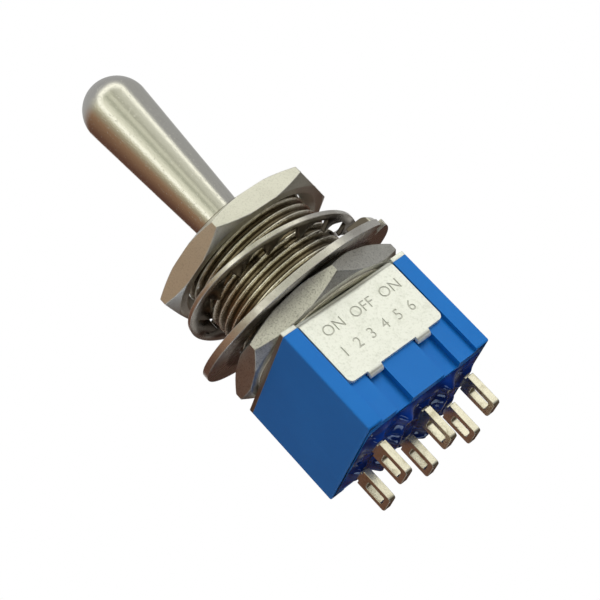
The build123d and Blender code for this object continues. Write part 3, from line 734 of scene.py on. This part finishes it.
def camera():
    # azimuth, elevation and roll in degrees; slide and distance in mm; aim above the cover
    size = {"azimuth": -30.887, "elevation": -16.089, "roll": -43.221, "slide": (-2.296, 2.869),
            "distance": 122.306, "aim": -0.5, "lens": 92.112, "sensor": 36, "clip": (0.01, 50)}
    azimuth, elevation, roll = [math.radians(size[key]) for key in ("azimuth", "elevation", "roll")]
    back = Vector((math.sin(azimuth) * math.cos(elevation), -math.cos(azimuth) * math.cos(elevation),
                   math.sin(elevation)))
    level = Vector((math.cos(azimuth), math.sin(azimuth), 0))
    upright = back.cross(level)
    right = level * math.cos(roll) + upright * math.sin(roll)
    up = upright * math.cos(roll) - level * math.sin(roll)
    data = bpy.data.cameras.new("camera")
    data.lens, data.sensor_width = size["lens"], size["sensor"]
    data.clip_start, data.clip_end = size["clip"]
    eye = bpy.data.objects.new("camera", data)
    bpy.context.scene.collection.objects.link(eye)
    slide = right * size["slide"][0] + up * size["slide"][1]
    matrix = Matrix((right, up, back)).transposed().to_4x4()
    matrix.translation = (back * size["distance"] + slide + Vector((0, 0, size["aim"]))) * mm
    eye.matrix_world = matrix
    bpy.context.scene.camera = eye
    return right, up, back, level, upright


def keyLight(right, up, back):
    # A square soft lamp that metal doesn't mirror, aimed at a height in mm from a distance in metres.
    # strength 1 lights a facing surface about as brightly as its colour is written.
    size = {"aim": 5, "right": 0.35, "back": 0.5, "distance": 0.5, "side": 0.3, "strength": 0.62}
    data = bpy.data.lights.new("keyLight", "AREA")
    data.shape, data.size = "SQUARE", size["side"]
    data.energy = size["strength"] * math.pi ** 2 * size["distance"] ** 2
    light = bpy.data.objects.new("keyLight", data)
    bpy.context.scene.collection.objects.link(light)
    direction = (up + right * size["right"] + back * size["back"]).normalized()
    light.rotation_mode = "QUATERNION"
    light.rotation_quaternion = direction.to_track_quat("Z", "Y")
    light.location = Vector((0, 0, size["aim"])) * mm + direction * size["distance"]
    light.visible_glossy = False


def floorMaterial():
    # One-sided: pale from above, and open to an eye below it
    look = {"pale": (0.86, 0.86, 0.86)}
    f = Finish("paleFloor")
    shade = f.add("ShaderNodeBsdfDiffuse", {}, {"Color": (*look["pale"], 1)})
    clear = f.add("ShaderNodeBsdfTransparent")
    under = f.add("ShaderNodeNewGeometry", out="Backfacing")
    return f.done(f.add("ShaderNodeMixShader", {}, {0: under, 1: shade, 2: clear}))


def domeMaterial(level, upright, back):
    # The light and shade round the object that only metal and gloss mirror: a tall window with bright edges,
    # brown shade on its left, plain grey on its right and above, a darker ground, a white panel far behind.
    # Window and sides are laid out as on a ball seen from the front, from -1 to 1 across and up.
    look = {"middle": 0.15, "half": 0.4, "height": 0.6, "edge": (1.42, 1.41, 1.24), "edgeWidth": 0.13,
            "window": [(-0.3, (1.1, 1.09, 0.88)), (-0.08, (0.95, 0.95, 0.78)), (0.04, (0.5, 0.51, 0.4)),
                       (0.15, (0.84, 0.84, 0.68)), (0.24, (0.52, 0.52, 0.42)), (0.33, (0.7, 0.7, 0.58)),
                       (0.6, (0.85, 0.85, 0.74))],
            "outside": [(-1.0, (0.1, 0.05, 0.035)), (-0.86, (0.13, 0.065, 0.045)),
                        (-0.74, (0.21, 0.115, 0.07)), (-0.55, (0.33, 0.2, 0.12)), (-0.42, (0.42, 0.37, 0.26)),
                        (-0.3, (0.78, 0.76, 0.58)), (0.3, (0.44, 0.44, 0.43)), (1.0, (0.42, 0.42, 0.41))],
            "ceiling": (0.44, 0.44, 0.44), "ceilingFrom": (0.35, 0.75),
            "rear": (1.0, 1.0, 0.98), "rearFrom": (-0.9, -0.98),
            "far": (0.5, 0.5, 0.48), "farTo": (-0.3, -0.62),
            "ground": (0.17, 0.17, 0.145), "groundLeft": (0.05, 0.032, 0.022), "leftTo": (-0.6, 0.1),
            "behind": (0.07, 0.04, 0.03), "behindFrom": (-0.45, -0.75),
            "under": (0.06, 0.042, 0.032), "underFrom": (-0.45, -0.95),
            "horizon": (0.02, -0.04), "horizonRise": 0.18, "riseFrom": (-0.55, -0.8),
            "sparks": [(-0.35, 0.63, -0.69), (-0.3, -0.1, -0.95)], "spark": (1.9, 2.1, 2.4),
            "sparkSize": (0.984, 0.993)}
    f = Finish("reflectionDome")
    ray = f.add("ShaderNodeVectorMath", {"operation": "NORMALIZE"}, {0: f.spot})
    side, rise, front = [f.dot(ray, axis) for axis in (level, upright, back)]
    height = f.add("ShaderNodeSeparateXYZ", {}, {"Vector": ray}, out="Z")
    spread = (front * 2 + 2.02) ** -0.5
    across, along = side * spread, rise * spread
    window, sides = [f.add("ShaderNodeValToRGB",
                           {"stops": [(place / 2 + 0.5, colour) for place, colour in look[key]]},
                           {"Fac": across * 0.5 + 0.5}) for key in ("window", "outside")]
    # loop is 1 along the window's edge, a rounded arch
    reach = across.calc("ABSOLUTE", across - look["middle"]) * (1 / look["half"])
    climb = along.calc("MAXIMUM", along, 0.0) * (1 / look["height"])
    loop = (reach ** 3 + climb ** 3) ** (1 / 3)
    glow = loop.calc("EXPONENT", ((loop - 1) * (1 / look["edgeWidth"])) ** 2 * -1)
    outside = f.blend(along.ramp(*look["ceilingFrom"]), sides, look["ceiling"])
    colour = f.blend(loop.ramp(0.96, 1.06), window, outside)
    colour = f.blend(glow, colour, look["edge"])
    colour = f.blend(front.ramp(*look["rearFrom"]), colour, look["rear"])
    ground = f.blend(side.ramp(*look["leftTo"]), look["groundLeft"], look["ground"])
    ground = f.blend(height.ramp(*look["farTo"]), look["far"], ground)
    ground = f.blend(front.ramp(*look["behindFrom"]), ground, look["behind"])
    ground = f.blend(height.ramp(*look["underFrom"]), ground, look["under"])
    horizon = height - front.ramp(*look["riseFrom"]) * look["horizonRise"]
    colour = f.blend(horizon.ramp(*look["horizon"]), colour, ground)
    # small bright places low down, which only the folds of the resin and the sharp edges of metal catch
    for aim in look["sparks"]:
        near = f.dot(ray, Vector(aim).normalized()).ramp(*look["sparkSize"])
        colour = f.blend(near, colour, look["spark"])
    return f.done(f.add("ShaderNodeEmission", {}, {"Color": colour}))


def worldLight():
    # Soft light from all round, and plain white for what the camera, gloss and glass see past the stage
    look = {"ambient": 0.5, "background": 1.0, "white": (1, 1, 1, 1)}
    world = bpy.data.worlds.new("studio")
    world.use_nodes = True
    bpy.context.scene.world = world
    tree = world.node_tree
    tree.nodes.clear()
    path = tree.nodes.new("ShaderNodeLightPath")
    seen = path.outputs["Is Camera Ray"]
    for other in ("Is Glossy Ray", "Is Transmission Ray"):
        either = tree.nodes.new("ShaderNodeMath")
        either.operation = "MAXIMUM"
        tree.links.new(seen, either.inputs[0])
        tree.links.new(path.outputs[other], either.inputs[1])
        seen = either.outputs[0]
    level = tree.nodes.new("ShaderNodeMapRange")
    level.inputs["To Min"].default_value = look["ambient"]
    level.inputs["To Max"].default_value = look["background"]
    tree.links.new(seen, level.inputs["Value"])
    back = tree.nodes.new("ShaderNodeBackground")
    back.inputs["Color"].default_value = look["white"]
    tree.links.new(level.outputs["Result"], back.inputs["Strength"])
    output = tree.nodes.new("ShaderNodeOutputWorld")
    tree.links.new(back.outputs["Background"], output.inputs["Surface"])


right, up, back, level, upright = camera()
worldLight()
keyLight(right, up, back)

# the floor and the dome, in metres
stage = {"floorRadius": 3.0, "floorGap": 0.0001, "domeRadius": 0.9}
bm = bmesh.new()
bmesh.ops.create_circle(bm, cap_ends=True, segments=64, radius=stage["floorRadius"])
bmesh.ops.translate(bm, verts=bm.verts, vec=(0, 0, cadBox[0].z - stage["floorGap"]))
floor = madeStage(bm, "floor", floorMaterial())
floor.visible_glossy = False

bm = bmesh.new()
bmesh.ops.create_uvsphere(bm, u_segments=48, v_segments=24, radius=stage["domeRadius"])
dome = madeStage(bm, "reflectionDome", domeMaterial(level, upright, back))
dome.visible_camera = dome.visible_diffuse = dome.visible_shadow = dome.visible_transmission = False

bpy.context.scene.view_settings.view_transform = "Standard"
print("stage made")
